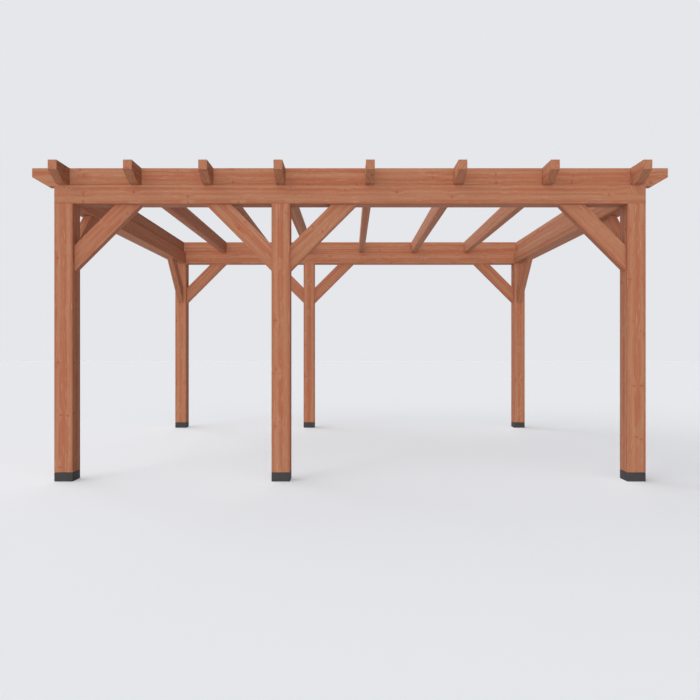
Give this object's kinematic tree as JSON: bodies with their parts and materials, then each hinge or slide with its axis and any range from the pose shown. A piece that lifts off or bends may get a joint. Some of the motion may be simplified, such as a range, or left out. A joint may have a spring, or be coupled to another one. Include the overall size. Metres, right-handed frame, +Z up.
{
  "type": "open timber patio cover",
  "caption": "Open timber patio cover: square posts on dark stone plinths, a half-lapped ring beam, knee braces and rafters with cut tails.",
  "frame": {"origin": "centre of the plan at ground level, in the plane of the plinths' undersides", "axes": "+X along the longer side, to the right as seen from the front; +Y from the front row to the back row; +Z up"},
  "size_m": [5.22, 4.2, 2.565],
  "materials": {
    "timber": "planed and stained",
    "stone": "honed"
  },
  "bodies": {
    "root": {"front_left_plinth": "stone", "front_middle_plinth": "stone", "front_right_plinth": "stone", "back_left_plinth": "stone", "back_middle_plinth": "stone", "back_right_plinth": "stone", "front_left_post": "timber", "front_middle_post": "timber", "front_right_post": "timber", "back_left_post": "timber", "back_middle_post": "timber", "back_right_post": "timber", "front_ring_beam": "timber", "back_ring_beam": "timber", "left_ring_beam": "timber", "right_ring_beam": "timber", "rafter_1": "timber", "rafter_2": "timber", "rafter_3": "timber", "rafter_4": "timber", "rafter_5": "timber", "rafter_6": "timber", "rafter_7": "timber", "rafter_8": "timber", "front_blocking": "timber", "back_blocking": "timber", "front_left_beam_tail": "timber", "front_right_beam_tail": "timber", "back_left_beam_tail": "timber", "back_right_beam_tail": "timber", "front_left_brace": "timber", "front_middle_left_brace": "timber", "front_middle_right_brace": "timber", "front_right_brace": "timber", "back_left_brace": "timber", "back_middle_left_brace": "timber", "back_middle_right_brace": "timber", "back_right_brace": "timber", "left_side_front_brace": "timber", "right_side_front_brace": "timber", "left_side_back_brace": "timber", "right_side_back_brace": "timber"}
  },
  "joints": []
}
